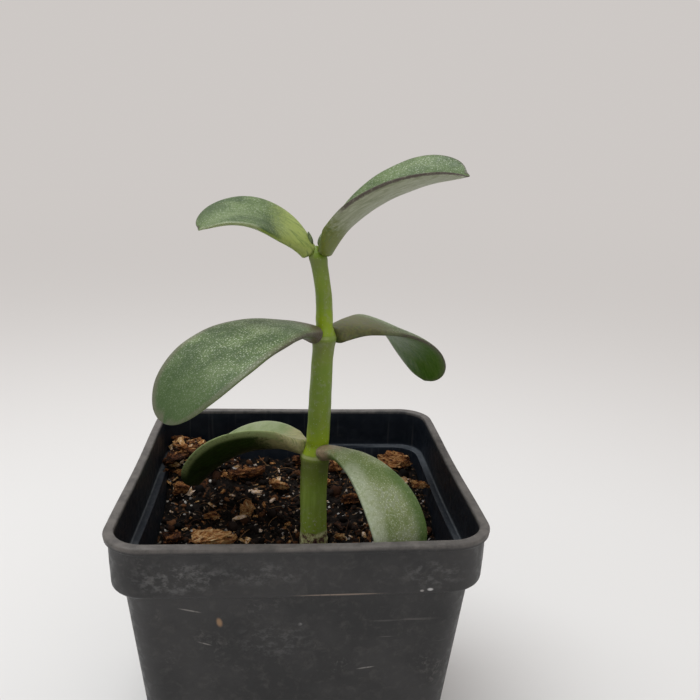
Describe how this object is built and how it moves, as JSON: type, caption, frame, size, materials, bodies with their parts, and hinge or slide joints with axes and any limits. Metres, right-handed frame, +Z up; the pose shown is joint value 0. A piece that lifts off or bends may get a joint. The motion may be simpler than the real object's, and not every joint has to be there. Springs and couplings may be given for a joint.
{
  "type": "potted jade plant",
  "caption": "Young jade plant with a green stem and pairs of thick oval leaves, growing in bark-flecked soil in a square black plastic nursery pot.",
  "frame": {"origin": "centre of the underside of the pot, on the surface it stands on", "axes": "+Z up along the pot and plant, +X to the right and -Y to the front as the plant is usually looked at; the sides of the square pot lie along X and Y"},
  "size_m": [0.089, 0.0908, 0.1679],
  "materials": {
    "pot_plastic": "charcoal black moulded plastic, dusty and lightly scuffed",
    "soil": "moist dark potting mix, crumbly, with pale grains; wood stands for peat and bark in weight",
    "stem": "smooth fleshy green stem, brighter above each pair of leaves, corky at the soil; rubber stands for watery plant tissue in weight",
    "leaf": "thick waxy grey-green leaf with a pale bloom, fine white dots and a darker margin; rubber stands for watery plant tissue in weight",
    "bud": "small dark green unopened leaf",
    "bark": "rough fibrous bark, red-brown to tan"
  },
  "bodies": {
    "root": {"pot": "pot_plastic", "soil": "soil", "stem": "stem", "leaf_lower_left": "leaf", "leaf_lower_right": "leaf", "leaf_middle_left": "leaf", "leaf_middle_right": "leaf", "leaf_top_left": "leaf", "leaf_top_right": "leaf", "bud_leaf_left": "bud", "bud_leaf_right": "bud", "bark_chip_heap_1": "bark", "bark_chip_heap_2": "bark", "bark_chip_heap_3": "bark", "bark_chip_heap_4": "bark", "bark_chip_heap_5": "bark", "bark_chip_broad": "bark", "bark_chip_long": "bark", "bark_chip_pale": "bark", "bark_chip_orange": "bark", "bark_chip_left": "bark", "bark_chip_front_left": "bark", "bark_chip_front": "bark", "bark_chip_front_right": "bark", "bark_chip_by_stem": "bark", "bark_chip_behind_stem": "bark", "bark_chip_middle": "bark", "bark_chip_right_wall": "bark", "bark_chip_right": "bark", "bark_chip_back_right": "bark", "bark_chip_back": "bark", "bark_chip_small_left": "bark", "bark_chip_small_right": "bark"}
  },
  "joints": []
}
